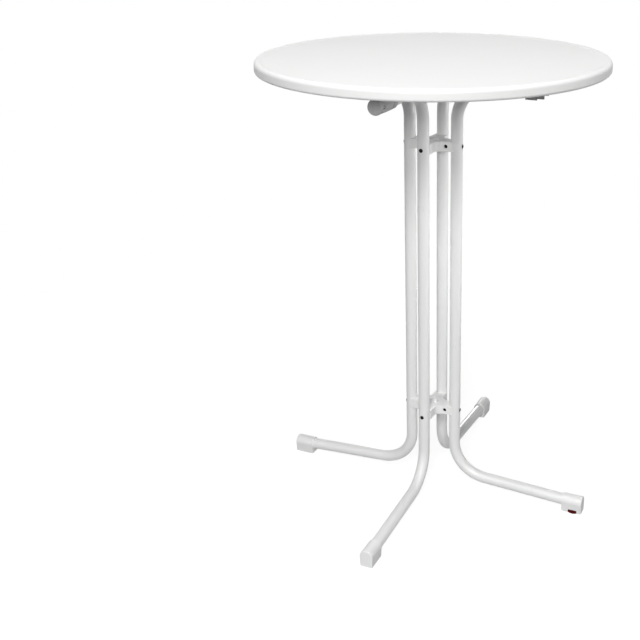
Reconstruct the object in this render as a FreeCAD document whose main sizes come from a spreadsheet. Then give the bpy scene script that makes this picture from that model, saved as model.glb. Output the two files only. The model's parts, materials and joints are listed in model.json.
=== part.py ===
"""High cocktail table: a round moulded top that tips up, on four bent tubes.

Millimetres, +Z up, origin on the floor under the middle of the table.
The arms and feet lie along +X (right), +Y (back), -X (left) and -Y (front).
"""
import FreeCAD, Part
import math
import os
import re

import Sketcher

# Driving dimensions: name and millimetres, or degrees for an angle.
SIZES = {
    # Top
    "top_diameter": 800,
    "table_height": 1100,
    "panel_thickness": 16.5,
    "bead_height": 1.5,
    "bead_width": 17,
    "rim_depth": 26,
    "rim_width": 26,
    "rim_draft": 5,
    "rim_round": 9,
    "rim_under_round": 6,
    "dimple_length": 62,
    "dimple_width": 16,
    "dimple_depth": 6,
    "dimple_ring": 130,
    "dimple_edge": 18,
    # Tubes
    "tube_diameter": 28,
    "tube_wall": 1.5,
    "leg_offset": 59,
    "arm_drop": 59,
    "arm_reach": 262,
    "upper_bend": 82,
    "lower_bend": 86,
    "foot_slope": 3,
    "foot_reach": 400,
    "foot_axis_height": 22.5,
    # Four-way connectors, their bolts and barrel nuts
    "upper_connector_drop": 202.5,
    "lower_connector_height": 216,
    "connector_depth": 23,
    "connector_width": 31,
    "connector_round": 18,
    "saddle_lip": 4,
    "core_diameter": 24,
    "core_depth": 9,
    "bolt_diameter": 6,
    "bolt_head": 9.5,
    "bolt_head_height": 1.8,
    "bolt_clearance": 0.25,
    "bolt_overrun": 2,
    "nut_offset": 37,
    "nut_diameter": 9,
    "nut_recess": 2.5,
    # Foot caps
    "cap_length": 50,
    "cap_insertion": 14,
    "cap_height": 42,
    "cap_width": 33,
    "cap_base": 30,
    "cap_round": 2.5,
    # Leveller in the right cap
    "leveller_inset": 22,
    "leveller_lift": 3,
    "leveller_rise": 1.6,
    "pad_diameter": 36,
    "pad_height": 7,
    "pad_edge": 1,
    "grip_diameter": 3,
    "stud_diameter": 8,
    "stud_length": 23,
    "neck_diameter": 5,
    "neck_length": 4,
    "insert_diameter": 12,
    "insert_length": 11,
    # Hinges on the front and left arms
    "hinge_ahead": 18,
    "nose_ahead": 30,
    "socket_length": 81,
    "socket_collar": 35,
    "socket_nose": 34,
    "nose_round": 5,
    "collar_length": 45,
    "collar_bevel": 2,
    "groove_width": 5,
    "groove_depth": 1.2,
    "pin_diameter": 8,
    "pin_inner": 13,
    "pin_outer": 20,
    "tongue_thickness": 10,
    "tongue_width": 18,
    "bracket_length": 58,
    "bracket_width": 50,
    "bracket_plate": 4,
    "bracket_round": 8,
    "gusset_thickness": 8,
    # Saddles on the right and back arms, and the plugs of those arms
    "clip_inset": 15.5,
    "clip_length": 43,
    "clip_wall": 5,
    "clip_mouth": 25,
    "clip_flare": 1.2,
    "clip_step": 2.5,
    "clip_step_length": 16,
    "clip_flange": 14,
    "clip_rib": 4,
    "plug_nose": 6,
    "plug_stem": 20,
    "plug_step": 1.2,
    "plug_round": 5,
    # Screws into the top
    "screw_diameter": 4,
    "screw_head": 8,
    "screw_head_height": 2.4,
    "screw_grip": 10,
    "screw_inset": 8,
    # Clearances
    "fit_gap": 0.1,
    "end_gap": 1.5,
    "pin_gap": 0.05,
    "swing_gap": 0.4,
    # Bevel on the ends of pins and studs
    "end_bevel": 1,
}

# Sizes that follow from the driving dimensions.
FORMULAS = {
    "top_radius": "top_diameter / 2",
    "surface_height": "table_height - bead_height",
    "panel_under": "surface_height - panel_thickness",
    "rim_under": "table_height - rim_depth",
    "bead_run": "bead_width - rim_round",
    "bead_radius": "(bead_run ^ 2 + bead_height ^ 2) / (2 * bead_height)",
    "dimple_half": "dimple_width / 2",
    "dimple_run": "dimple_length / 2 - dimple_half",
    "outer_ring": "top_radius - rim_width - rim_draft - dimple_edge - dimple_length / 2",
    "middle_ring": "(dimple_ring + outer_ring) / 2",
    "tube_radius": "tube_diameter / 2",
    "bore_radius": "tube_radius - tube_wall",
    "sleeve_radius": "tube_radius + fit_gap",
    "arm_height": "table_height - arm_drop",
    "under_arm": "panel_under - arm_height",
    "foot_rise": "tan(foot_slope)",
    "lower_bend_x": "leg_offset + lower_bend * (1 - sin(foot_slope))",
    "lower_bend_z": "foot_axis_height + (foot_reach - lower_bend_x) * foot_rise",
    "cap_back": "foot_reach - cap_length",
    "cap_back_axis": "foot_axis_height + cap_length * foot_rise",
    "foot_end": "cap_back + cap_insertion",
    "foot_end_axis": "foot_axis_height + (foot_reach - foot_end) * foot_rise",
    "crown": "cap_width / 2",
    "cap_axis": "cap_height - crown",
    "upper_connector_height": "table_height - upper_connector_drop",
    "arm_half": "connector_width / 2",
    "lip_x": "leg_offset - saddle_lip",
    "lip_y": "sqrt(sleeve_radius ^ 2 - saddle_lip ^ 2)",
    "flank_start": "arm_half + connector_round",
    "bolt_seat": "leg_offset + tube_radius",
    "bolt_tip": "nut_offset - nut_diameter / 2 - bolt_overrun",
    "bolt_hole": "bolt_diameter + 2 * bolt_clearance",
    "head_radius": "((bolt_head / 2) ^ 2 + bolt_head_height ^ 2) / (2 * bolt_head_height)",
    "leveller_x": "foot_reach - leveller_inset",
    "recess_depth": "pad_height + leveller_rise + swing_gap - leveller_lift",
    "insert_base": "leveller_lift + recess_depth",
    "stud_top": "pad_height + stud_length",
    "hinge_reach": "arm_reach + hinge_ahead",
    "socket_reach": "hinge_reach + nose_ahead",
    "socket_back": "socket_reach - socket_length",
    "collar_end": "socket_back + collar_length",
    "groove_start": "socket_back + collar_length / 2 - groove_width / 2",
    "socket_stop": "arm_reach + end_gap",
    "tongue_half": "tongue_width / 2",
    "slot_half": "tongue_half + swing_gap",
    "plate_under": "under_arm - bracket_plate",
    "tongue_shoulder": "plate_under - bracket_plate",
    "clip_reach": "arm_reach - clip_inset",
    "clip_end": "clip_reach + clip_length / 2",
    "channel_half": "tube_radius + swing_gap",
    "clip_half": "channel_half + clip_wall",
    "flange_half": "clip_half + clip_flange",
    "clip_screw_y": "clip_half + clip_flange / 2",
}

RIGHT, BACK, LEFT, FRONT = 0, 90, 180, 270
ARMS = 4                  # tubes round the middle
GRIPS = 24                # notches round the levelling pad
DIMPLES = 8               # dimples in each ring under the top, twice as many in the outer one
TIP_SIDE = 225            # direction, seen from above, in which the lower half of the top swings

doc = FreeCAD.newDocument("CocktailTable")
sheet = doc.addObject("Spreadsheet::Sheet", "Sizes")
for row, (name, number) in enumerate(SIZES.items(), start=1):
    sheet.set("A%d" % row, name)
    sheet.set("B%d" % row, str(number))
    sheet.setAlias("B%d" % row, name)
doc.recompute()
nodes = []


def tied(formula):
    """A formula in size names, spelled out in cells of the sheet."""
    def spell(match):
        word = match.group()
        if word in FORMULAS:
            return "(" + tied(FORMULAS[word]) + ")"
        return "Sizes." + word if word in SIZES else word
    return re.sub(r"[a-z][a-z_]*", spell, formula)


def size(formula):
    """The present value of a formula."""
    return float(sheet.evalExpression(tied(formula)))


def new_body(label, height="0", turn=0):
    """A sub-part of its own, lifted to a height and turned about the table's middle."""
    body = doc.addObject("PartDesign::Body", label)
    body.Label = label
    spin = FreeCAD.Rotation(FreeCAD.Vector(0, 0, 1), turn)
    body.Placement = FreeCAD.Placement(FreeCAD.Vector(), spin)
    body.setExpression("Placement.Base.z", tied(height))
    nodes.append(body)
    return body


def origin_part(body, role):
    return next(part for part in body.Origin.OriginFeatures if part.Role == role)


def new_sketch(body, name, role, offset="0", along="0", across="0", spin=None):
    """A sketch on one of the body's own planes, moved in that plane's frame and turned there."""
    sketch = body.newObject("Sketcher::SketchObject", name)
    sketch.AttachmentSupport = [(origin_part(body, role), "")]
    sketch.MapMode = "FlatFace"
    if spin:
        axis, angle = spin
        turned = FreeCAD.Rotation(FreeCAD.Vector(*axis), angle)
        sketch.AttachmentOffset = FreeCAD.Placement(FreeCAD.Vector(), turned)
    for letter, formula in zip("xyz", (along, across, offset)):
        sketch.setExpression("AttachmentOffset.Base." + letter, tied(formula))
    return sketch


def tie(sketch, kind, *where, formula):
    """A dimension of a sketch, bound to a formula."""
    index = sketch.addConstraint(Sketcher.Constraint(kind, *where, size(formula)))
    sketch.setExpression("Constraints[%d]" % index, tied(formula))


def fix_point(sketch, geometry, position, x, y):
    """Hold a point of a sketch at two formulas."""
    for kind, formula, axis in (("DistanceX", x, -2), ("DistanceY", y, -1)):
        if formula == "0":
            sketch.addConstraint(Sketcher.Constraint("PointOnObject", geometry, position, axis))
        else:
            tie(sketch, kind, -1, 1, geometry, position, formula=formula)


def bend_between(begin, end, radius, turn):
    """The arc under a half circle from one point to another, turning left (1) or right (-1)."""
    chord = end - begin
    middle = (begin + end) / 2
    rise = math.sqrt(max(radius ** 2 - (chord.Length / 2) ** 2, 0))
    leftward = FreeCAD.Vector(-chord.y, chord.x, 0).normalize()
    centre = middle + leftward * rise * turn
    first, last = (begin, end) if turn > 0 else (end, begin)
    angles = [math.atan2(point.y - centre.y, point.x - centre.x) for point in (first, last)]
    return Part.ArcOfCircle(Part.Circle(centre, FreeCAD.Vector(0, 0, 1), radius), *angles)


def draw(sketch, corners, closed=True):
    """Draw an outline: (x, y) is a straight run to a corner, (x, y, radius, turn) an arc to it."""
    places = [FreeCAD.Vector(size(x), size(y), 0) for x, y, *_ in corners]
    count = len(corners)
    runs = count if closed else count - 1
    first = sketch.GeometryCount
    tips = []
    for run in range(runs):
        begin, end = places[run], places[(run + 1) % count]
        bend = corners[(run + 1) % count][2:]
        if bend:
            formula, turn = bend
            sketch.addGeometry(bend_between(begin, end, size(formula), turn), False)
            tips.append((1, 2) if turn > 0 else (2, 1))
        else:
            sketch.addGeometry(Part.LineSegment(begin, end), False)
            tips.append((1, 2))
    for run in range(runs if closed else runs - 1):
        after = (run + 1) % runs
        meet = Sketcher.Constraint("Coincident", first + run, tips[run][1], first + after, tips[after][0])
        sketch.addConstraint(meet)
    for index, (x, y, *_) in enumerate(corners):
        run, tip = (index, 0) if index < runs else (index - 1, 1)
        fix_point(sketch, first + run, tips[run][tip], x, y)
    for run in range(runs):
        bend = corners[(run + 1) % count][2:]
        if bend:
            tie(sketch, "Radius", first + run, formula=bend[0])


def draw_circle(sketch, x, y, radius):
    """Draw a circle about a point."""
    centre = FreeCAD.Vector(size(x), size(y), 0)
    circle = sketch.addGeometry(Part.Circle(centre, FreeCAD.Vector(0, 0, 1), size(radius)), False)
    fix_point(sketch, circle, 3, x, y)
    tie(sketch, "Radius", circle, formula=radius)


def extrude(body, kind, sketch, length, both_ways=False, reverse=False):
    """A Pad or Pocket of a sketch; a Pocket runs against the sketch's normal unless reversed."""
    feature = body.newObject("PartDesign::" + kind, sketch.Name + kind)
    feature.Profile = sketch
    feature.SideType = "Symmetric" if both_ways else "One side"
    feature.Reversed = reverse
    feature.setExpression("Length", tied(length))
    return feature


def revolve(body, sketch, axis):
    """A full turn of a sketch about its own H_Axis or V_Axis."""
    feature = body.newObject("PartDesign::Revolution", sketch.Name + "Turned")
    feature.Profile = sketch
    feature.ReferenceAxis = (sketch, [axis])
    feature.Angle = 360
    return feature


def repeat_round(body, features, count):
    """Copies of features about the body's own upright axis."""
    pattern = body.newObject("PartDesign::PolarPattern", features[0].Name + "Round")
    pattern.Originals = features
    pattern.Axis = (origin_part(body, "Z_Axis"), [""])
    pattern.Angle = 360
    pattern.Occurrences = count
    body.Tip = pattern
    return pattern


def round_edges(body, feature, radius, chosen):
    """A fillet on the edges that pass a test of their end points."""
    doc.recompute()
    names = ["Edge%d" % number for number, edge in enumerate(feature.Shape.Edges, start=1)
             if chosen(*[vertex.Point for vertex in edge.Vertexes])]
    fillet = body.newObject("PartDesign::Fillet", feature.Name + "Round")
    fillet.Base = (feature, names)
    fillet.setExpression("Radius", tied(radius))
    return fillet


def near(one, formula):
    return abs(one - size(formula)) < 1e-4


def minus(formula):
    return "-(" + formula + ")"


def rectangle(half_x, half_y):
    """The four corners of a rectangle about a sketch's origin, in order round it."""
    left, low = minus(half_x), minus(half_y)
    return [(half_x, half_y), (left, half_y), (left, low), (half_x, low)]


BRACKET_SCREWS = rectangle("bracket_width / 2 - screw_inset", "bracket_length / 2 - screw_inset")
CLIP_SCREWS = rectangle("clip_length / 2 - screw_inset", "clip_screw_y")


def four_circles(sketch, places, radius):
    for x, y in places:
        draw_circle(sketch, x, y, radius)


def polar(formula, angle):
    """x and y formulas of a point at a distance along one of the four directions."""
    steps = {RIGHT: (1, 0), BACK: (0, 1), LEFT: (-1, 0), FRONT: (0, -1)}[angle]
    return [{1: formula, -1: minus(formula), 0: "0"}[step] for step in steps]


def move_body(body, x, y):
    body.setExpression("Placement.Base.x", tied(x))
    body.setExpression("Placement.Base.y", tied(y))


def press_dimples(body, name, ring, count):
    """Oblong dimples that stiffen the hollow panel, on a ring between the arms."""
    outline = new_sketch(body, name, "XY_Plane", "panel_under", spin=((0, 0, 1), 180 / count))
    begin, end = ring + " - dimple_run", ring + " + dimple_run"
    draw(outline, [
        (begin, minus("dimple_half"), "dimple_half", 1),
        (end, minus("dimple_half")),
        (end + " + dimple_half", "0", "dimple_half", 1),
        (end, "dimple_half", "dimple_half", 1),
        (begin, "dimple_half"),
        (begin + " - dimple_half", "0", "dimple_half", 1),
    ])
    repeat_round(body, [extrude(body, "Pocket", outline, "dimple_depth", reverse=True)], count)


def make_tabletop():
    """The moulded top: a panel with a thick rounded rim, a low bead, dimples and blind screw holes."""
    body = new_body("tabletop")
    section = new_sketch(body, "TopSection", "XZ_Plane")
    rim_inside = "top_radius - rim_width"
    draw(section, [
        ("0", "panel_under"),
        (rim_inside + " - rim_draft", "panel_under"),
        (rim_inside, "rim_under"),
        ("top_radius - rim_under_round", "rim_under"),
        ("top_radius", "rim_under + rim_under_round", "rim_under_round", 1),
        ("top_radius", "table_height - rim_round"),
        ("top_radius - rim_round", "table_height", "rim_round", 1),
        ("top_radius - bead_width", "surface_height", "bead_radius", 1),
        ("0", "surface_height"),
    ])
    revolve(body, section, "V_Axis")
    seats = [("Front", FRONT, "hinge_reach", TIP_SIDE, BRACKET_SCREWS),
             ("Left", LEFT, "hinge_reach", TIP_SIDE, BRACKET_SCREWS),
             ("Right", RIGHT, "clip_reach", RIGHT, CLIP_SCREWS),
             ("Back", BACK, "clip_reach", BACK, CLIP_SCREWS)]
    for name, angle, reach, turn, places in seats:
        x, y = polar(reach, angle)
        holes = new_sketch(body, name + "Pilots", "XY_Plane", "panel_under", x, y, ((0, 0, 1), turn))
        four_circles(holes, places, "screw_diameter / 2 + fit_gap")
        extrude(body, "Pocket", holes, "screw_grip + end_gap", reverse=True)
    press_dimples(body, "InnerDimples", "dimple_ring", DIMPLES)
    press_dimples(body, "MiddleDimples", "middle_ring", DIMPLES)
    press_dimples(body, "OuterDimples", "outer_ring", 2 * DIMPLES)


def make_leg(label, turn):
    """One bent tube: arm under the top, upright and sloping foot, bored for the two bolts."""
    body = new_body(label, turn=turn)
    spine = new_sketch(body, "Spine", "XZ_Plane")
    draw(spine, [
        ("arm_reach", "arm_height"),
        ("leg_offset + upper_bend", "arm_height"),
        ("leg_offset", "arm_height - upper_bend", "upper_bend", 1),
        ("leg_offset", "lower_bend_z + lower_bend * cos(foot_slope)"),
        ("lower_bend_x", "lower_bend_z", "lower_bend", 1),
        ("foot_end", "foot_end_axis"),
    ], closed=False)
    ring = new_sketch(body, "Ring", "YZ_Plane", "arm_reach")
    draw_circle(ring, "0", "arm_height", "tube_radius")
    draw_circle(ring, "0", "arm_height", "bore_radius")
    tube = body.newObject("PartDesign::AdditivePipe", "Tube")
    tube.Profile = ring
    tube.Spine = (spine, [])
    holes = new_sketch(body, "BoltHoles", "YZ_Plane")
    for height in ("upper_connector_height", "lower_connector_height"):
        draw_circle(holes, "0", height, "bolt_hole / 2")
    extrude(body, "Pocket", holes, "leg_offset + tube_diameter", reverse=True)


def make_connector(label, height):
    """A four-way moulding: arms with saddles for the tubes, bolt holes and barrel nut holes."""
    body = new_body(label, height)
    arm = [
        ("flank_start", minus("arm_half"), "connector_round", -1),
        ("lip_x", minus("arm_half")),
        ("lip_x", minus("lip_y")),
        ("lip_x", "lip_y", "sleeve_radius", -1),
        ("lip_x", "arm_half"),
        ("flank_start", "arm_half"),
    ]
    outline = []
    for _ in range(ARMS):
        outline += arm
        arm = [(minus(y), x, *bend) for x, y, *bend in arm]
    plan = new_sketch(body, "Plan", "XY_Plane")
    draw(plan, outline)
    extrude(body, "Pad", plan, "connector_depth", both_ways=True)
    core = new_sketch(body, "Core", "XY_Plane", "connector_depth / 2")
    draw_circle(core, "0", "0", "core_diameter / 2")
    extrude(body, "Pocket", core, "core_depth")
    cross = new_sketch(body, "NutHole", "XZ_Plane")
    draw_circle(cross, "nut_offset", "0", "nut_diameter / 2 + fit_gap")
    nut_hole = extrude(body, "Pocket", cross, "connector_width + end_gap", both_ways=True)
    along = new_sketch(body, "BoltHole", "YZ_Plane", "bolt_tip - end_gap")
    draw_circle(along, "0", "0", "bolt_hole / 2")
    bolt_hole = extrude(body, "Pocket", along, "leg_offset - bolt_tip", reverse=True)
    repeat_round(body, [nut_hole, bolt_hole], ARMS)


def make_bolts(label, height):
    """Four dome-headed bolts, each through a tube into its barrel nut."""
    body = new_body(label, height)
    section = new_sketch(body, "Bolt", "XZ_Plane")
    bolt_radius = "bolt_diameter / 2"
    draw(section, [
        ("bolt_tip", "0"),
        ("bolt_seat + bolt_head_height", "0"),
        ("bolt_seat", "bolt_head / 2", "head_radius", 1),
        ("bolt_seat", bolt_radius),
        ("bolt_tip", bolt_radius),
    ])
    repeat_round(body, [revolve(body, section, "H_Axis")], ARMS)


def make_barrel_nuts(label, height):
    """Four cross nuts lying in the connector's arms."""
    body = new_body(label, height)
    end = new_sketch(body, "Barrel", "XZ_Plane")
    draw_circle(end, "nut_offset", "0", "nut_diameter / 2")
    barrel = extrude(body, "Pad", end, "connector_width - 2 * nut_recess", both_ways=True)
    bore = new_sketch(body, "Thread", "YZ_Plane", "nut_offset - nut_diameter")
    draw_circle(bore, "0", "0", "bolt_diameter / 2 + pin_gap")
    thread = extrude(body, "Pocket", bore, "2 * nut_diameter", reverse=True)
    repeat_round(body, [barrel, thread], ARMS)


def slant(feature):
    """Send an extrusion down the slope of the foot, its length still measured along the ground."""
    feature.UseCustomVector = True
    feature.AlongSketchNormal = True
    feature.Direction = FreeCAD.Vector(1, 0, -size("foot_rise"))
    feature.setExpression("Direction.z", tied(minus("foot_rise")))


def make_foot_cap(label, turn, floor="0"):
    """A moulded cap: a level arch on a flat sole, with a slanting mouth for the tube."""
    body = new_body(label, turn=turn)
    # The sides run up from the narrow base and meet the round crown without a kink.
    rise = "(cap_axis - %s)" % floor
    reach = "((cap_base / 2) ^ 2 + %s ^ 2)" % rise
    side = "sqrt(%s - crown ^ 2)" % reach
    meet_x = "(crown ^ 2 * cap_base / 2 + crown * %s * %s) / %s" % (side, rise, reach)
    meet_z = "cap_axis + (crown * %s * cap_base / 2 - crown ^ 2 * %s) / %s" % (side, rise, reach)
    arch = new_sketch(body, "Arch", "YZ_Plane", "cap_back")
    draw(arch, [
        (minus("cap_base / 2"), floor),
        ("cap_base / 2", floor),
        (meet_x, meet_z),
        ("0", "cap_height", "crown", 1),
        (minus(meet_x), meet_z, "crown", 1),
    ])
    block = extrude(body, "Pad", arch, "cap_length")
    round_edges(body, block, "cap_round", lambda p, q: near(p.x, "foot_reach") and near(q.x, "foot_reach")
                and not (near(p.z, floor) and near(q.z, floor)))
    mouth = new_sketch(body, "Mouth", "YZ_Plane", "cap_back")
    draw_circle(mouth, "0", "cap_back_axis", "sleeve_radius")
    slant(extrude(body, "Pocket", mouth, "cap_insertion + end_gap"))
    return body


def bore_for_leveller(body):
    """The recess, open at both sides, and the bush seat and stud hole above it in the right cap."""
    steps = [("Recess", "leveller_lift", "pad_diameter / 2 + 2 * swing_gap", "recess_depth"),
             ("BushSeat", "insert_base", "insert_diameter / 2 + fit_gap", "insert_length"),
             ("StudHole", "insert_base", "stud_diameter / 2 + swing_gap",
              "stud_top + leveller_rise + end_gap - insert_base")]
    for name, start, radius, depth in steps:
        circle = new_sketch(body, name, "XY_Plane", start)
        draw_circle(circle, "leveller_x", "0", radius)
        extrude(body, "Pocket", circle, depth, reverse=True)


def make_leveller():
    """The red foot under the right cap: pad, stud that turns in it and threaded bush."""
    pad = new_body("leveller_pad")
    move_body(pad, "leveller_x", "0")
    pad_radius = "pad_diameter / 2"
    socket = "neck_diameter / 2 + pin_gap"
    disc = new_sketch(pad, "Disc", "XZ_Plane")
    draw(disc, [
        ("0", "0"),
        (pad_radius + " - pad_edge", "0"),
        (pad_radius, "pad_edge"),
        (pad_radius, "pad_height - pad_edge"),
        (pad_radius + " - pad_edge", "pad_height"),
        (socket, "pad_height"),
        (socket, "pad_height - neck_length"),
        ("0", "pad_height - neck_length"),
    ])
    revolve(pad, disc, "V_Axis")
    grip = new_sketch(pad, "Grip", "XY_Plane")
    draw_circle(grip, pad_radius + " + grip_diameter / 4", "0", "grip_diameter / 2")
    repeat_round(pad, [extrude(pad, "Pocket", grip, "pad_height", reverse=True)], GRIPS)

    stud = new_body("leveller_stud", "pad_height")
    move_body(stud, "leveller_x", "0")
    profile = new_sketch(stud, "Profile", "XZ_Plane")
    stud_radius = "stud_diameter / 2"
    draw(profile, [
        ("0", minus("neck_length")),
        ("neck_diameter / 2", minus("neck_length")),
        ("neck_diameter / 2", "0"),
        (stud_radius, "0"),
        (stud_radius, "stud_length - end_bevel"),
        (stud_radius + " - end_bevel", "stud_length"),
        ("0", "stud_length"),
    ])
    revolve(stud, profile, "V_Axis")

    insert = new_body("leveller_insert", "insert_base")
    move_body(insert, "leveller_x", "0")
    bush = new_sketch(insert, "Bush", "XZ_Plane")
    inside = stud_radius + " + pin_gap"
    draw(bush, [
        (inside, "0"),
        ("insert_diameter / 2", "0"),
        ("insert_diameter / 2", "insert_length"),
        (inside, "insert_length"),
    ])
    revolve(insert, bush, "V_Axis")


def make_hinge_socket(label, turn, side):
    """The moulding on an arm's end: collar with a ring groove, blunt nose, slot and pin hole."""
    body = new_body(label, "arm_height", turn)
    section = new_sketch(body, "Section", "XZ_Plane")
    collar = "socket_collar / 2"
    nose = "socket_nose / 2"
    draw(section, [
        ("socket_back", "sleeve_radius"),
        ("socket_stop", "sleeve_radius"),
        ("socket_stop", "0"),
        ("socket_reach", "0"),
        ("socket_reach", nose + " - nose_round"),
        ("socket_reach - nose_round", nose, "nose_round", 1),
        ("collar_end", nose),
        ("collar_end - collar_bevel", collar),
        ("groove_start + groove_width", collar),
        ("groove_start + groove_width", collar + " - groove_depth"),
        ("groove_start", collar + " - groove_depth"),
        ("groove_start", collar),
        ("socket_back + collar_bevel", collar),
        ("socket_back", collar + " - collar_bevel"),
    ])
    revolve(body, section, "H_Axis")
    swing = ((0, 1, 0), 45 * side)
    slot = new_sketch(body, "Slot", "XZ_Plane", along="hinge_reach", spin=swing)
    draw(slot, [
        (minus("slot_half"), minus("slot_half")),
        ("socket_length", minus("slot_half")),
        ("socket_length", "socket_length"),
        (minus("slot_half"), "socket_length"),
    ])
    extrude(body, "Pocket", slot, "tongue_thickness + 2 * swing_gap", both_ways=True)
    # The pin hole starts inside the inner cheek and leaves through the outer one.
    inward = "pin_inner * sqrt(0.5)"
    hole = new_sketch(body, "PinHole", "XZ_Plane", minus(inward) if side > 0 else inward,
                      "hinge_reach - " + inward, spin=swing)
    draw_circle(hole, "0", "0", "pin_diameter / 2 + pin_gap")
    extrude(body, "Pocket", hole, "socket_length", reverse=side > 0)


def make_hinge_bracket(label, turn):
    """The bracket under the top: screwed plate, tongue round the pin and side gussets."""
    body = new_body(label, "arm_height", TIP_SIDE)
    move_body(body, *polar("hinge_reach", turn))
    plate = new_sketch(body, "Plate", "XY_Plane", "plate_under")
    draw(plate, rectangle("bracket_width / 2", "bracket_length / 2"))
    slab = extrude(body, "Pad", plate, "bracket_plate")
    round_edges(body, slab, "bracket_round", lambda p, q: p.z != q.z)
    web = new_sketch(body, "Tongue", "XZ_Plane")
    draw(web, [
        (minus("tongue_half"), "0"),
        ("0", minus("tongue_half"), "tongue_half", 1),
        ("tongue_half", "0", "tongue_half", 1),
        ("tongue_half", "tongue_shoulder"),
        ("bracket_width / 2 - bracket_plate", "plate_under"),
        ("bracket_plate - bracket_width / 2", "plate_under"),
        (minus("tongue_half"), "tongue_shoulder"),
    ])
    extrude(body, "Pad", web, "tongue_thickness", both_ways=True)
    gusset = new_sketch(body, "Gusset", "YZ_Plane")
    foot = "bracket_length / 2 - bracket_plate"
    draw(gusset, [
        (minus("tongue_half"), "tongue_shoulder"),
        ("tongue_half", "tongue_shoulder"),
        (foot, "plate_under"),
        (minus(foot), "plate_under"),
    ])
    extrude(body, "Pad", gusset, "gusset_thickness", both_ways=True)
    bore = new_sketch(body, "PinBore", "XZ_Plane")
    draw_circle(bore, "0", "0", "pin_diameter / 2 + pin_gap")
    extrude(body, "Pocket", bore, "bracket_length", both_ways=True)
    holes = new_sketch(body, "ScrewHoles", "XY_Plane", "plate_under")
    four_circles(holes, BRACKET_SCREWS, "screw_diameter / 2 + bolt_clearance")
    extrude(body, "Pocket", holes, "bracket_plate", reverse=True)


def make_hinge_pin(label, turn, side):
    """A steel pin across the slot, its outer end flush in the nose."""
    body = new_body(label, "arm_height", TIP_SIDE)
    move_body(body, *polar("hinge_reach", turn))
    circle = new_sketch(body, "Pin", "XZ_Plane", "pin_inner" if side < 0 else "pin_outer")
    draw_circle(circle, "0", "0", "pin_diameter / 2")
    rod = extrude(body, "Pad", circle, "pin_inner + pin_outer", reverse=True)
    doc.recompute()
    bevel = body.newObject("PartDesign::Chamfer", "Bevel")
    bevel.Base = (rod, ["Edge1", "Edge3"])
    bevel.setExpression("Size", tied("end_bevel"))


def make_screws(label, reach, angle, turn, places):
    """Four pan-headed screws up into the top."""
    body = new_body(label, "arm_height", turn)
    move_body(body, *polar(reach, angle))
    shanks = new_sketch(body, "Shanks", "XY_Plane", "plate_under")
    four_circles(shanks, places, "screw_diameter / 2")
    extrude(body, "Pad", shanks, "bracket_plate + screw_grip")
    heads = new_sketch(body, "Heads", "XY_Plane", "plate_under")
    four_circles(heads, places, "screw_head / 2")
    extrude(body, "Pad", heads, "screw_head_height", reverse=True)


def make_clip(label, turn):
    """A saddle under the top: it snaps over an arm from above, its jaws reach well below the tube."""
    body = new_body(label, "arm_height", turn)
    view = new_sketch(body, "EndView", "YZ_Plane", "clip_reach - clip_length / 2")
    mouth = minus("clip_mouth")
    mouth_half = "channel_half + clip_flare"
    draw(view, [
        (mouth_half, mouth),
        ("clip_half", mouth),
        ("clip_half", "plate_under"),
        ("flange_half", "plate_under"),
        ("flange_half", "under_arm"),
        (minus("flange_half"), "under_arm"),
        (minus("flange_half"), "plate_under"),
        (minus("clip_half"), "plate_under"),
        (minus("clip_half"), mouth),
        (minus(mouth_half), mouth),
        (minus("channel_half"), "0"),
        ("0", "channel_half", "channel_half", -1),
        ("channel_half", "0", "channel_half", -1),
    ])
    extrude(body, "Pad", view, "clip_length")
    cores = new_sketch(body, "Cores", "YZ_Plane", "clip_reach - clip_length / 2")
    low, high = "channel_half + clip_rib", "plate_under - clip_rib / 2"
    inner, outer = "clip_rib / 2", "clip_half - clip_rib"
    draw(cores, [(inner, low), (outer, low), (outer, high), (inner, high)])
    draw(cores, [(minus(outer), low), (minus(inner), low), (minus(inner), high), (minus(outer), high)])
    extrude(body, "Pocket", cores, "clip_length", reverse=True)
    step = new_sketch(body, "Step", "XZ_Plane")
    step_start, step_top = "clip_end - clip_step_length", "clip_step - clip_mouth"
    draw(step, [(step_start, mouth), ("clip_end", mouth), ("clip_end", step_top), (step_start, step_top)])
    extrude(body, "Pocket", step, "2 * flange_half", both_ways=True)
    holes = new_sketch(body, "ScrewHoles", "XY_Plane", "plate_under", "clip_reach")
    four_circles(holes, CLIP_SCREWS, "screw_diameter / 2 + bolt_clearance")
    extrude(body, "Pocket", holes, "bracket_plate", reverse=True)


def make_arm_plug(label, turn):
    """The plug of a free arm: stem in the tube, rounded nose outside it."""
    body = new_body(label, "arm_height", turn)
    stem = "bore_radius - fit_gap"
    nose = "tube_radius - plug_step"
    section = new_sketch(body, "Section", "XZ_Plane")
    draw(section, [
        ("arm_reach - plug_stem", "0"),
        ("arm_reach + plug_nose", "0"),
        ("arm_reach + plug_nose", nose + " - plug_round"),
        ("arm_reach + plug_nose - plug_round", nose, "plug_round", 1),
        ("arm_reach", nose),
        ("arm_reach", stem),
        ("arm_reach - plug_stem", stem),
    ])
    revolve(body, section, "H_Axis")


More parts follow.
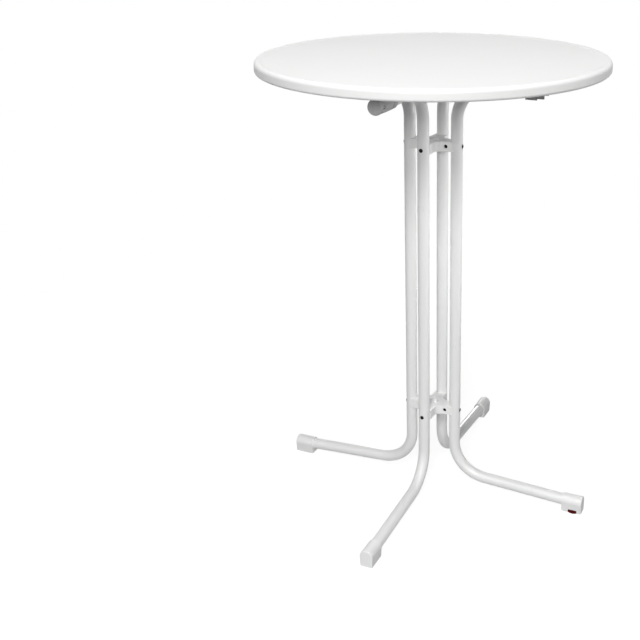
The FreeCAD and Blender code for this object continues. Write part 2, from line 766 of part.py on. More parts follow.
def build():
    make_tabletop()
    for name, turn in (("right", RIGHT), ("back", BACK), ("left", LEFT), ("front", FRONT)):
        make_leg("leg_" + name, turn)
    for name, height in (("upper", "upper_connector_height"), ("lower", "lower_connector_height")):
        make_connector(name + "_connector", height)
        make_bolts(name + "_connector_bolts", height)
        make_barrel_nuts(name + "_barrel_nuts", height)
    for name, turn in (("back", BACK), ("left", LEFT), ("front", FRONT)):
        make_foot_cap("foot_cap_" + name, turn)
    right_cap = make_foot_cap("foot_cap_right", RIGHT, "leveller_lift")
    bore_for_leveller(right_cap)
    make_leveller()
    # The two hinges mirror each other about the line between their arms.
    for name, turn, side in (("front", FRONT, -1), ("left", LEFT, 1)):
        make_hinge_socket("hinge_socket_" + name, turn, side)
        make_hinge_bracket("hinge_bracket_" + name, turn)
        make_hinge_pin("hinge_pin_" + name, turn, side)
        make_screws("hinge_screws_" + name, "hinge_reach", turn, TIP_SIDE, BRACKET_SCREWS)
    for name, turn in (("right", RIGHT), ("back", BACK)):
        make_clip("clip_" + name, turn)
        make_screws("clip_screws_" + name, "clip_reach", turn, turn, CLIP_SCREWS)
        make_arm_plug("arm_plug_" + name, turn)
    doc.recompute()


def check():
    """Stop if any feature failed or any sub-part is not a sound solid."""
    for item in doc.Objects:
        if "Invalid" in item.State or "Error" in item.State:
            raise RuntimeError("failed feature: %s of %s" % (item.Name, item.Label))
    for body in nodes:
        if body.Shape.isNull() or not body.Shape.isValid() or not body.Shape.Solids:
            raise RuntimeError("unsound sub-part: " + body.Label)


def write():
    os.makedirs("parts", exist_ok=True)
    for body in nodes:
        body.Shape.exportStep("parts/%s.step" % body.Label)
        print("%-24s %d solids %12.1f mm3" % (body.Label, len(body.Shape.Solids), body.Shape.Volume))


build()
check()
write()
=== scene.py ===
# %% [markdown]
# # High cocktail table
# A bar table: a round white moulded top that tips up on a hinge, four bent steel tubes with a white powder
# coat, two moulded cross blocks that hold the tubes together, and a shoe on each foot, one of them with a
# red levelling pad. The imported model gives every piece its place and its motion. This lesson gives the
# pieces their finer shapes and their surfaces, without moving anything.

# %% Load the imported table
import json
import math

import bmesh
import bpy
from mathutils import Matrix, Vector


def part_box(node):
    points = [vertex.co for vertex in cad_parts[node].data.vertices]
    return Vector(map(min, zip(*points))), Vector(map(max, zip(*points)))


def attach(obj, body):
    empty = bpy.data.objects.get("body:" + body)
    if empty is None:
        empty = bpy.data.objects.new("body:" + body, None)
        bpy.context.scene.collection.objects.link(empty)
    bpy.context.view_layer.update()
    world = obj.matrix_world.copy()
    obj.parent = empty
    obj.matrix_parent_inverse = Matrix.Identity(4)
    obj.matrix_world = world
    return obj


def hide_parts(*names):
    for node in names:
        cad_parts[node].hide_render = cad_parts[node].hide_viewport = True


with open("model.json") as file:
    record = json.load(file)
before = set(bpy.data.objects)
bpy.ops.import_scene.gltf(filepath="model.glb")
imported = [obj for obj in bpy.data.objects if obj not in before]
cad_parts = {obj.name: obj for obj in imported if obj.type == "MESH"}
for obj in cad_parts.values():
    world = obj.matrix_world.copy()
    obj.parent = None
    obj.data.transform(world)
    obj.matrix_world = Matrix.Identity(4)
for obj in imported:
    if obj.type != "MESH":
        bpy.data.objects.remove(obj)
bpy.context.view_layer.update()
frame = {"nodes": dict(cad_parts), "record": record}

# %% [markdown]
# ## Sizes
# The table is measured, not redrawn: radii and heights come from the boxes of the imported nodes. What a box
# can't tell, such as the radius of a bend, is written once here in millimetres. All lengths in Blender are
# metres.

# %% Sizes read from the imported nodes
MM = 0.001
top_low, top_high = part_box("tabletop")
top_radius, table_height, rim_under = top_high.x, top_high.z, top_low.z
leg_low, leg_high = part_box("leg_right")
tube_radius = leg_high.y
leg_offset = leg_low.x + tube_radius
arm_height = leg_high.z - tube_radius
foot_end = leg_high.x
foot_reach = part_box("foot_cap_right")[1].x
shoe_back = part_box("foot_cap_right")[0].x
lower_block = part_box("lower_connector")
upper_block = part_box("upper_connector")
block_depth = upper_block[1].z - upper_block[0].z
block_heights = {"lower": (lower_block[0].z + lower_block[1].z) / 2,
                 "upper": (upper_block[0].z + upper_block[1].z) / 2}
print("top radius %.3f, height %.3f, tube radius %.4f, uprights at %.3f" % (
    top_radius, table_height, tube_radius, leg_offset))

# %% Sizes that the boxes can't tell
PANEL = 16.5 * MM          # moulded panel inside the rim
BEAD_HEIGHT = 1.5 * MM     # low bead round the surface
surface = table_height - BEAD_HEIGHT
underside = surface - PANEL
ARM_REACH = 262 * MM       # end of the tubes under the top
UPPER_BEND = 82 * MM
LOWER_BEND = 86 * MM
FOOT_AXIS = 22.5 * MM      # tube's axis over the floor at the tip of the foot
FOOT_SLOPE = math.radians(3)
HINGE_REACH = 280 * MM     # hinge pins, measured from the middle along the arm
TIP_SIDE = math.radians(225)
DIRECTIONS = {"right": 0, "back": 90, "left": 180, "front": 270}
print("panel from %.4f to %.4f" % (underside, surface))

# %% [markdown]
# ## Mesh tools
# Most pieces of a table like this are turned, bent or moulded, so a few tools make them all. `soft_path`
# draws an outline with rounded corners, `skin` stretches quads between rings of points, `lathe` turns an
# outline, and `softened`, `carved` and `merged` borrow Blender's bevel and boolean modifiers and keep the
# finished mesh. Plain modifiers left on the pieces would look the same, but a finished mesh is easier to
# check.

# %% Outlines
def soft_path(corners, closed=False, steps=6):
    """Points of an outline of (x, y, radius) corners, each rounded by an arc that touches both its runs."""
    points = []
    for index, (x, y, radius) in enumerate(corners):
        here = Vector((x, y))
        at_end = not closed and index in (0, len(corners) - 1)
        if radius == 0 or at_end:
            points.append(here)
            continue
        before = (Vector(corners[index - 1][:2]) - here).normalized()
        after = (Vector(corners[(index + 1) % len(corners)][:2]) - here).normalized()
        half = before.angle(after) / 2
        centre = here + (before + after).normalized() * radius / math.sin(half)
        first = here + before * radius / math.tan(half) - centre
        last = here + after * radius / math.tan(half) - centre
        start = math.atan2(first.y, first.x)
        turn = (math.atan2(last.y, last.x) - start + math.pi) % math.tau - math.pi
        for step in range(steps + 1):
            angle = start + turn * step / steps
            points.append(centre + radius * Vector((math.cos(angle), math.sin(angle))))
    return points


def arc(x, y, radius, start, end, steps):
    """Points of an arc about (x, y), between two angles in degrees."""
    angles = [math.radians(start + (end - start) * step / steps) for step in range(steps + 1)]
    return [Vector((x + radius * math.cos(angle), y + radius * math.sin(angle))) for angle in angles]


square = [(0, 0, 1), (9, 0, 1), (9, 9, 1), (0, 9, 1)]
print("a square with soft corners has", len(soft_path(square, closed=True)), "points")

# %% Skins and turned shapes
def as_mesh(shell, name):
    """Close a bmesh into a mesh whose faces all look outwards."""
    bmesh.ops.recalc_face_normals(shell, faces=shell.faces)
    mesh = bpy.data.meshes.new(name)
    shell.to_mesh(mesh)
    shell.free()
    return mesh


def skin(name, rings, caps=(True, True)):
    """Quads between rings of points; a ring of one point closes a pole, a cap closes an open end."""
    shell = bmesh.new()
    rows = [[shell.verts.new(point) for point in ring] for ring in rings]
    for low, high in zip(rows, rows[1:]):
        count = max(len(low), len(high))
        for here in range(count):
            after = (here + 1) % count
            corners = [low[here % len(low)], low[after % len(low)],
                       high[after % len(high)], high[here % len(high)]]
            shell.faces.new(list(dict.fromkeys(corners)))
    for row, wanted in zip((rows[0], rows[-1]), caps):
        if wanted and len(row) > 2:
            shell.faces.new(row)
    return as_mesh(shell, name)


def polar_ring(radius_at, height, steps):
    """A ring about the upright axis, with a radius for each angle."""
    ring = []
    for step in range(steps):
        angle = math.tau * step / steps
        radius = radius_at(angle)
        ring.append((radius * math.cos(angle), radius * math.sin(angle), height))
    return ring


def turned_ring(radius, height, steps):
    """A round ring about the upright axis, or a single point on it."""
    if radius < 1e-7:
        return [(0, 0, height)]
    return polar_ring(lambda angle: radius, height, steps)


def lathe(name, profile, steps=48):
    """Turn (radius, height) points about the upright axis."""
    return skin(name, [turned_ring(radius, height, steps) for radius, height in profile])


def prism(name, outline, low, high):
    """A flat outline given thickness along the upright axis."""
    return skin(name, [[(x, y, height) for x, y in outline] for height in (low, high)])


def drawn_in(outline, amount):
    """An anticlockwise outline moved inwards, each point along the middle of its two runs' normals."""
    moved_points = []
    for index, here in enumerate(outline):
        before = (here - outline[index - 1]).normalized()
        after = (outline[(index + 1) % len(outline)] - here).normalized()
        inward = Vector((-before.y - after.y, before.x + after.x)).normalized()
        lean = max(0.4, inward.dot(Vector((-before.y, before.x))))
        moved_points.append(here + inward * amount / lean)
    return moved_points


def soft_prism(name, outline, low, high, edge, steps=4):
    """A prism with round edges: rings of the outline, drawn in along a quarter circle at both ends."""
    bends = [math.radians(90 * step / steps) for step in range(steps + 1)]
    levels = [(edge * (1 - math.sin(bend)), low + edge * (1 - math.cos(bend))) for bend in bends]
    levels += [(inset, low + high - height) for inset, height in reversed(levels)]
    return skin(name, [[(x, y, height) for x, y in drawn_in(outline, inset)] for inset, height in levels])


print("mesh tools ready")

# %% Finished meshes from modifiers
def worked(mesh, kind, **settings):
    """The mesh as one modifier leaves it."""
    bench = bpy.data.objects.new("bench", mesh)
    bpy.context.scene.collection.objects.link(bench)
    step = bench.modifiers.new(kind, kind)
    for name, value in settings.items():
        setattr(step, name, value)
    depsgraph = bpy.context.evaluated_depsgraph_get()
    result = bpy.data.meshes.new_from_object(bench.evaluated_get(depsgraph))
    bpy.data.objects.remove(bench)
    return result


def softened(mesh, width):
    """Round every edge that turns by more than 40 degrees."""
    return worked(mesh, "BEVEL", width=width, segments=2, limit_method="ANGLE", angle_limit=math.radians(40))


def with_tool(mesh, tool, operation):
    helper = bpy.data.objects.new("tool", tool)
    bpy.context.scene.collection.objects.link(helper)
    result = worked(mesh, "BOOLEAN", operation=operation, solver="EXACT", object=helper)
    bpy.data.objects.remove(helper)
    return result


def carved(mesh, tool):
    return with_tool(mesh, tool, "DIFFERENCE")


def merged(mesh, tool):
    return with_tool(mesh, tool, "UNION")


def placed(mesh, *moves):
    """A copy of a mesh after some moves, the first move first."""
    copy = mesh.copy()
    for move in moves:
        copy.transform(move)
    return copy


def together(name, meshes):
    """Several separate meshes as one."""
    shell = bmesh.new()
    for mesh in meshes:
        shell.from_mesh(mesh)
    joined = bpy.data.meshes.new(name)
    shell.to_mesh(joined)
    shell.free()
    return joined


ALONG_ARM = Matrix.Rotation(math.radians(90), 4, "Y")     # upright axis laid along +X


def turned(degrees):
    return Matrix.Rotation(math.radians(degrees), 4, "Z")


def moved(x=0, y=0, z=0):
    return Matrix.Translation((x, y, z))


print("modifier tools ready")

# %% [markdown]
# ## Surface effects shared by the finishes
# Nothing on this table is perfectly even. Sprayed powder flows out into a faint orange peel, moulded
# plastic copies the spark-eroded grain of its mould, and hands and cloths leave slightly glossier patches.
# Each effect is a node group in object coordinates, so the grain keeps its real size on every piece and
# needs no unwrapping.

# %% A group of nodes with named sockets
def new_group(name, inputs, outputs):
    """An empty shader group: inputs are (name, default), outputs are names of values."""
    group = bpy.data.node_groups.new(name, "ShaderNodeTree")
    for label, default in inputs:
        socket = group.interface.new_socket(label, in_out="INPUT", socket_type="NodeSocketFloat")
        socket.default_value = default
    for label in outputs:
        group.interface.new_socket(label, in_out="OUTPUT", socket_type="NodeSocketFloat")
    return group, group.nodes.new("NodeGroupInput"), group.nodes.new("NodeGroupOutput")


def add_node(tree, kind, links=(), **settings):
    """A node with its settings, and links of (its input, the socket that feeds it)."""
    node = tree.nodes.new("ShaderNode" + kind)
    for name, value in settings.items():
        setattr(node, name, value)
    for target, source in links:
        tree.links.new(source, node.inputs[target])
    return node


def math_node(tree, operation, *values):
    """Arithmetic on sockets and numbers."""
    node = tree.nodes.new("ShaderNodeMath")
    node.operation = operation
    for index, value in enumerate(values):
        if isinstance(value, (int, float)):
            node.inputs[index].default_value = value
        else:
            tree.links.new(value, node.inputs[index])
    return node.outputs[0]


print("node tools ready")

# %% Grain: the texture of the mould or of the sprayed powder
def make_grain():
    """Height of fine pebbles mixed with a softer swell; Pebble is their size in millimetres."""
    group, given, result = new_group("surface grain", [("Pebble", 1.0), ("Swell", 6.0)], ["Height", "Tone"])
    place = add_node(group, "TexCoord").outputs["Object"]
    fine_scale = math_node(group, "DIVIDE", 1 / MM, given.outputs["Pebble"])
    swell_scale = math_node(group, "DIVIDE", 1 / MM, given.outputs["Swell"])
    pebbles = add_node(group, "TexVoronoi", [("Vector", place), ("Scale", fine_scale)], feature="SMOOTH_F1")
    swell = add_node(group, "TexNoise", [("Vector", place), ("Scale", swell_scale)])
    swell.inputs["Detail"].default_value = 3.0
    swell.inputs["Roughness"].default_value = 0.55
    height = math_node(group, "MULTIPLY_ADD", swell.outputs[0], 0.6, pebbles.outputs["Distance"])
    group.links.new(height, result.inputs["Height"])
    group.links.new(swell.outputs[0], result.inputs["Tone"])
    return group


GRAIN = make_grain()
print("made group:", GRAIN.name)

# %% Handling: where hands and cloths have polished or dulled a surface
def make_handling():
    """A slow cloudy mask with fine stray hairlines in it, about 0.5 on average."""
    group, given, result = new_group("handling marks", [("Patch", 120.0), ("Hairline", 0.3)], ["Mask"])
    place = add_node(group, "TexCoord").outputs["Object"]
    patch_scale = math_node(group, "DIVIDE", 1 / MM, given.outputs["Patch"])
    clouds = add_node(group, "TexNoise", [("Vector", place), ("Scale", patch_scale)])
    clouds.inputs["Detail"].default_value = 4.0
    stretch = add_node(group, "Mapping", [("Vector", place)])
    stretch.inputs["Rotation"].default_value = (0.0, 0.0, 0.6)
    stretch.inputs["Scale"].default_value = (900.0, 14.0, 60.0)
    hairs = add_node(group, "TexNoise", [("Vector", stretch.outputs[0])])
    hairs.inputs["Scale"].default_value = 1.0
    hairs.inputs["Detail"].default_value = 1.0
    centred = math_node(group, "SUBTRACT", hairs.outputs[0], 0.5)
    mask = math_node(group, "MULTIPLY_ADD", centred, given.outputs["Hairline"], clouds.outputs[0])
    group.links.new(mask, result.inputs["Mask"])
    return group


HANDLING = make_handling()
print("made group:", HANDLING.name)

# %% [markdown]
# ## Finishes
# Each material slot of the record has a finish. The whites differ: the top is a satin moulded plastic with
# a fine pebble grain, the tubes carry a smoother and glossier powder coat, and the blocks and shoes are
# plain satin mouldings. The fittings under the top share the mouldings' slot, but their finish is a greyer
# copy of the white moulding: painted shade for the shadow that the top casts on them. Colour changes by
# only a few percent over a surface, because the real one is clean; most of the life comes from roughness
# and from the grain's bump.

# %% One recipe for every finish
def add_group(tree, group, **values):
    node = tree.nodes.new("ShaderNodeGroup")
    node.node_tree = group
    for name, value in values.items():
        node.inputs[name].default_value = value
    return node


def spread(tree, value, low, high):
    """Map a mask of about 0.25 to 0.75 onto a range of values."""
    node = add_node(tree, "MapRange", [("Value", value)])
    for name, number in (("From Min", 0.25), ("From Max", 0.75), ("To Min", low), ("To Max", high)):
        node.inputs[name].default_value = number
    return node.outputs[0]


def blend_colours(tree, mask, dark, light):
    node = add_node(tree, "Mix", data_type="RGBA")
    tree.links.new(mask, node.inputs["Factor"])
    node.inputs["A"].default_value = (*dark, 1.0)
    node.inputs["B"].default_value = (*light, 1.0)
    return node.outputs["Result"]


def new_finish(name, dark, light, rough, pebble, swell, patch, hairline, bump,
               metallic=0.0, coat=0.0, shine=0.5):
    """A finish between two colours and two roughnesses, with its grain as a bump of so many millimetres."""
    finish = bpy.data.materials.new(name)
    finish.use_nodes = True
    tree = finish.node_tree
    shader = tree.nodes["Principled BSDF"]
    grain = add_group(tree, GRAIN, Pebble=pebble, Swell=swell)
    handling = add_group(tree, HANDLING, Patch=patch, Hairline=hairline)
    tree.links.new(blend_colours(tree, grain.outputs["Tone"], dark, light), shader.inputs["Base Color"])
    tree.links.new(spread(tree, handling.outputs["Mask"], *rough), shader.inputs["Roughness"])
    relief = add_node(tree, "Bump", [("Height", grain.outputs["Height"])])
    relief.inputs["Strength"].default_value = 1.0
    relief.inputs["Distance"].default_value = bump * MM
    tree.links.new(relief.outputs[0], shader.inputs["Normal"])
    shader.inputs["Metallic"].default_value = metallic
    shader.inputs["Specular IOR Level"].default_value = shine
    shader.inputs["Coat Weight"].default_value = coat
    shader.inputs["Coat Roughness"].default_value = 0.25
    return finish


print("finish recipe ready")

# %% The finishes
FINISHES = {
    "top_white": new_finish("satin moulded top", (0.83, 0.83, 0.825), (0.86, 0.86, 0.855), (0.36, 0.48),
                            pebble=0.9, swell=7, patch=160, hairline=0.5, bump=0.03),
    "frame_white": new_finish("white powder coat", (0.89, 0.89, 0.886), (0.91, 0.91, 0.908), (0.26, 0.36),
                              pebble=1.6, swell=4, patch=90, hairline=0.2, bump=0.02, coat=0.15),
    "moulded_white": new_finish("satin white moulding", (0.9, 0.9, 0.896), (0.92, 0.92, 0.916), (0.38, 0.52),
                                pebble=0.5, swell=5, patch=40, hairline=0.2, bump=0.015),
    "dark_steel": new_finish("blackened steel", (0.014, 0.014, 0.015), (0.024, 0.024, 0.026), (0.6, 0.72),
                             pebble=0.3, swell=2, patch=8, hairline=0.6, bump=0.008, metallic=0.6, shine=0.2),
    "bright_steel": new_finish("zinc plated steel", (0.28, 0.28, 0.285), (0.36, 0.36, 0.365), (0.5, 0.65),
                               pebble=0.4, swell=3, patch=10, hairline=0.9, bump=0.006, metallic=1.0),
    "brass": new_finish("turned brass", (0.55, 0.38, 0.14), (0.68, 0.5, 0.22), (0.25, 0.38),
                        pebble=0.4, swell=3, patch=10, hairline=0.8, bump=0.006, metallic=1.0),
    "leveller_red": new_finish("dark red moulding", (0.07, 0.002, 0.003), (0.095, 0.003, 0.004), (0.6, 0.72),
                               pebble=0.5, swell=3, patch=15, hairline=0.3, bump=0.012, shine=0.12),
    # painted shade: a greyer copy of the white moulding stands in for the shadow the top casts on the fittings
    # under it
    "painted_shade_under_top": new_finish("white moulding with painted shade",
                            (0.46, 0.46, 0.458), (0.52, 0.52, 0.517), (0.42, 0.55),
                            pebble=0.5, swell=5, patch=40, hairline=0.2, bump=0.015),
}
print("finishes:", ", ".join(finish.name for finish in FINISHES.values()))

# %% [markdown]
# ## How a piece joins the table
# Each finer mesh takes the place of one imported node: it rides on the same body, so it moves with the same
# joint, and the node itself is hidden. Smooth shading stops at creases sharper than a set angle, and the
# normals are weighted by area, so that large flat faces stay flat right up to their rounded edges.

# %% Add a piece
def add_piece(name, mesh, body, slot, *stands_for, crease=35, finish=None):
    mesh.shade_smooth()
    mesh.set_sharp_from_angle(angle=math.radians(crease))
    mesh = worked(mesh, "WEIGHTED_NORMAL", keep_sharp=True)
    mesh.name = name
    mesh.materials.clear()
    mesh.materials.append(FINISHES[finish or slot])
    piece = bpy.data.objects.new(name, mesh)
    bpy.context.scene.collection.objects.link(piece)
    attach(piece, body)
    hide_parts(*stands_for)
    print("%-24s %6d faces, stands for %s" % (name, len(mesh.polygons), ", ".join(stands_for)))

# %% [markdown]
# ## The moulded top
# The top is a hollow moulded disc: a panel with a thick rounded rim, a low bead that keeps spills in, and
# oblong dimples pressed into the underside, where the two skins of the moulding meet. It could be a
# cylinder with bevels, but turning one outline gives the bead, the rim and the soft inner corner their own
# radii. The dimples are then cut by one tool with flared mouths, so that their edges come out rounded.

# %% Turn the top's outline
BEAD_FOOT, BEAD_CREST = 18 * MM, 12 * MM      # measured in from the edge
RIM_WIDTH, RIM_DRAFT = 26 * MM, 5 * MM
top_profile = soft_path([
    (0, surface, 0),
    (top_radius - BEAD_FOOT, surface, 8 * MM),
    (top_radius - BEAD_CREST, table_height, 10 * MM),
    (top_radius, table_height, 9 * MM),
    (top_radius, rim_under, 6 * MM),
    (top_radius - RIM_WIDTH, rim_under, 2 * MM),
    (top_radius - RIM_WIDTH - RIM_DRAFT, underside, 4 * MM),
    (0, underside, 0),
], steps=8)
top_disc = lathe("top_disc", top_profile, steps=224)
print("top outline has", len(top_profile), "points")

# %% Press the dimples
DIMPLE_LENGTH, DIMPLE_WIDTH, DIMPLE_DEPTH = 62 * MM, 16 * MM, 6 * MM
DIMPLE_EDGE = 18 * MM
MOUTH_ROUND, FLOOR_ROUND = 2 * MM, 3 * MM
inner_ring = 130 * MM
outer_ring = top_radius - RIM_WIDTH - RIM_DRAFT - DIMPLE_EDGE - DIMPLE_LENGTH / 2
DIMPLE_RINGS = [(inner_ring, 8), ((inner_ring + outer_ring) / 2, 8), (outer_ring, 16)]


def oblong(grow, height):
    """An oblong ring, grown sideways from the dimple's own outline."""
    run = (DIMPLE_LENGTH - DIMPLE_WIDTH) / 2
    radius = DIMPLE_WIDTH / 2 + grow
    ends = arc(run, 0, radius, -90, 90, 10) + arc(-run, 0, radius, 90, 270, 10)
    return [(x, y, height) for x, y in ends]


def dimple_tool():
    """One dimple as a solid: flared mouth, upright wall and rounded floor."""
    rings = [oblong(MOUTH_ROUND * 1.2, -MM)]
    for angle in (15, 40, 65, 90):
        bend = math.radians(angle)
        rings.append(oblong(MOUTH_ROUND * (1 - math.sin(bend)), MOUTH_ROUND * (1 - math.cos(bend))))
    for angle in (0, 30, 60, 90):
        bend = math.radians(angle)
        rings.append(oblong(FLOOR_ROUND * (math.cos(bend) - 1),
                            DIMPLE_DEPTH - FLOOR_ROUND * (1 - math.sin(bend))))
    return skin("dimple", rings)


one_dimple = dimple_tool()
dimples = [placed(one_dimple, moved(x=ring, z=underside), turned(360 * (step + 0.5) / count))
           for ring, count in DIMPLE_RINGS for step in range(count)]
add_piece("moulded_top", carved(top_disc, together("dimples", dimples)), "top", "top_white", "tabletop")

# %% [markdown]
# ## The bent tubes
# Each leg is one steel tube bent twice: an arm under the top, an upright, and a foot that slopes down to
# its shoe. A curve with a round bevel would do, but its bends can pinch. Here rings of points follow
# straight runs and true arcs, so the tube stays round everywhere, and its open end shows the wall of the
# tube.

# %% The path of one tube
BEND_STEPS = 28


def tube_path():
    """Places (x, z) and headings of the tube's axis, from the arm's end to the end inside the shoe."""
    bend_x = leg_offset + LOWER_BEND * (1 - math.sin(FOOT_SLOPE))
    rise = math.tan(FOOT_SLOPE)
    bend_z = FOOT_AXIS + (foot_reach - bend_x) * rise
    upper_centre = (leg_offset + UPPER_BEND, arm_height - UPPER_BEND)
    lower_centre = (leg_offset + LOWER_BEND, bend_z + LOWER_BEND * math.cos(FOOT_SLOPE))
    path = [(ARM_REACH, arm_height, 180)]
    for step, point in enumerate(arc(*upper_centre, UPPER_BEND, 90, 180, BEND_STEPS)):
        path.append((point.x, point.y, 180 + 90 * step / BEND_STEPS))
    sweep = 90 - math.degrees(FOOT_SLOPE)
    for step, point in enumerate(arc(*lower_centre, LOWER_BEND, 180, 180 + sweep, BEND_STEPS)):
        path.append((point.x, point.y, 270 + sweep * step / BEND_STEPS))
    path.append((foot_end, FOOT_AXIS + (foot_reach - foot_end) * rise, 270 + sweep))
    return path


def tube_ring(x, z, heading, radius, steps=40):
    """A ring square to the heading, which turns in the upright plane."""
    side = math.radians(heading + 90)
    ring = []
    for step in range(steps):
        angle = math.tau * step / steps
        out = radius * math.cos(angle)
        ring.append((x + out * math.cos(side), radius * math.sin(angle), z + out * math.sin(side)))
    return ring


TUBE_WALL, TUBE_EDGE, TUBE_BORE = 1.5 * MM, 0.4 * MM, 10 * MM     # wall, soft edge, depth of the open end
path = tube_path()
end_x, end_z, end_heading = path[0]
tube_rings = [tube_ring(end_x - TUBE_BORE, end_z, end_heading, tube_radius - TUBE_WALL),
              tube_ring(end_x, end_z, end_heading, tube_radius - TUBE_WALL),
              tube_ring(end_x, end_z, end_heading, tube_radius - TUBE_EDGE),
              tube_ring(end_x - TUBE_EDGE, end_z, end_heading, tube_radius)]
tube_rings += [tube_ring(*place, tube_radius) for place in path[1:]]
bent_tube = skin("bent_tube", tube_rings)
for name, angle in DIRECTIONS.items():
    add_piece("tube_" + name, placed(bent_tube, turned(angle)), "base", "frame_white", "leg_" + name)

# %% [markdown]
# ## The cross blocks
# Two moulded crosses hold the uprights apart. Each arm ends in a saddle that hugs its tube, the arms run
# into each other in wide concave rounds, and a blind core from above keeps the wall even while the plastic
# cools. Drawing one arm and turning it four times keeps the cross true. A bevel would tear the thin lips of
# the saddles, so the soft edges come from drawing the outline in, ring by ring. The holes are cut last,
# with flared mouths of their own. A nut is pushed in from one flank of its arm only, the one that shows a
# dark end in the photograph; the other flank stays closed.

# %% Plan of a cross block
BLOCK_HALF = 15.5 * MM       # half the width of an arm
BLOCK_ROUND = 18 * MM
SADDLE_LIP, LIP_ROUND = 4 * MM, 0.7 * MM
SADDLE_FIT = 0.1 * MM
lip_x = leg_offset - SADDLE_LIP
saddle_radius = tube_radius + SADDLE_FIT
lip_angle = math.degrees(math.acos(-SADDLE_LIP / saddle_radius))
arm_corners = [(lip_x, -BLOCK_HALF, LIP_ROUND)]
arm_corners += [(x, y, 0) for x, y in arc(leg_offset, 0, saddle_radius, 360 - lip_angle, lip_angle, 16)]
arm_corners += [(lip_x, BLOCK_HALF, LIP_ROUND), (BLOCK_HALF, BLOCK_HALF, BLOCK_ROUND)]
cross_corners = []
for quarter in range(4):
    turn = Matrix.Rotation(math.radians(90 * quarter), 2)
    cross_corners += [(*(turn @ Vector((x, y))), radius) for x, y, radius in arm_corners]
cross_plan = soft_path(cross_corners, closed=True, steps=8)
print("cross outline has", len(cross_plan), "points")

# %% Mould the cross blocks
CORE_RADIUS, CORE_DEPTH, CORE_FLARE = 12 * MM, 9 * MM, 0.8 * MM
NUT_RADIUS, NUT_PLACE, NUT_RECESS, NUT_FLARE = 4.5 * MM, 37 * MM, 2.5 * MM, 0.6 * MM
half_depth = block_depth / 2
BLOCK_EDGE = 0.6 * MM
block = soft_prism("cross", cross_plan, -half_depth, half_depth, BLOCK_EDGE)
core_tool = lathe("core", soft_path([
    (0, half_depth - CORE_DEPTH, 0), (CORE_RADIUS, half_depth - CORE_DEPTH, 2 * MM),
    (CORE_RADIUS, half_depth - CORE_FLARE, 0.5 * MM),
    (CORE_RADIUS + 2 * CORE_FLARE, half_depth + CORE_FLARE, 0), (0, half_depth + CORE_FLARE, 0)], steps=5))
nut_half = BLOCK_HALF - NUT_RECESS
nut_profile = [(0, -nut_half), (NUT_RADIUS, -nut_half), (NUT_RADIUS, BLOCK_HALF - NUT_FLARE),
               (NUT_RADIUS + 2 * NUT_FLARE, BLOCK_HALF + MM), (0, BLOCK_HALF + MM)]
LAID_ACROSS = Matrix.Rotation(math.radians(90), 4, "X")    # upright axis laid along Y
nut_tool = placed(lathe("nut_hole", nut_profile), LAID_ACROSS, moved(x=NUT_PLACE))
tools = [core_tool] + [placed(nut_tool, turned(90 * quarter)) for quarter in range(4)]
block = carved(block, together("block_tools", tools))
for name, height in block_heights.items():
    add_piece("cross_block_" + name, placed(block, moved(z=height)), "base", "moulded_white",
              name + "_connector")

# %% [markdown]
# ## Bolts and barrel nuts
# A dark bolt goes through each upright into a barrel nut lying across the arm of the block. The head is a
# low dome with a hexagon socket. The socket is real geometry: the last ring of the dome is laid on a
# hexagon and pushed in.

# %% The dome-headed bolts
BOLT_RADIUS, HEAD_RADIUS, HEAD_HEIGHT = 3 * MM, 4.75 * MM, 1.8 * MM
HEX_HALF, HEX_DEPTH = 2 * MM, 0.7 * MM
HEX_BEVEL, HEX_CONE = 0.15 * MM, 0.2 * MM      # slope into the socket, and the drill's point at its floor
HEAD_STEPS = 48
bolt_seat = leg_offset + tube_radius
BOLT_TIP, TIP_BEVEL = 30.5 * MM, 0.6 * MM      # end of the bolt, from the middle of the table


def hexagon_ring(height):
    """A ring with the head's count of points, laid on a hexagon."""
    def radius_at(angle):
        side = (angle + math.pi / 6) % (math.pi / 3) - math.pi / 6
        return HEX_HALF / math.cos(side)
    return polar_ring(radius_at, height, HEAD_STEPS)


def dome_bolt():
    """One bolt along the upright axis, its head's seat at height 0."""
    dome = (HEAD_RADIUS ** 2 + HEAD_HEIGHT ** 2) / (2 * HEAD_HEIGHT)
    tip = BOLT_TIP - bolt_seat
    rings = [turned_ring(radius, height, HEAD_STEPS) for radius, height in (
        (0, tip), (BOLT_RADIUS - TIP_BEVEL, tip), (BOLT_RADIUS, tip + TIP_BEVEL), (BOLT_RADIUS, 0),
        (HEAD_RADIUS - 0.2 * MM, 0), (HEAD_RADIUS, 0.25 * MM))]
    for share in (0.92, 0.8, 0.68, 0.6, 0.55):
        radius = HEAD_RADIUS * share
        rings.append(turned_ring(radius, math.sqrt(dome ** 2 - radius ** 2) - dome + HEAD_HEIGHT, HEAD_STEPS))
    mouth = rings[-1][0][2] - HEX_BEVEL
    rings += [hexagon_ring(mouth), hexagon_ring(mouth - HEX_DEPTH), [(0, 0, mouth - HEX_DEPTH - HEX_CONE)]]
    return skin("bolt", rings)


one_bolt = placed(dome_bolt(), ALONG_ARM, moved(x=bolt_seat))
for name, height in block_heights.items():
    bolts = [placed(one_bolt, turned(angle), moved(z=height)) for angle in DIRECTIONS.values()]
    add_piece("bolts_" + name, together("bolts", bolts), "base", "dark_steel", name + "_connector_bolts")

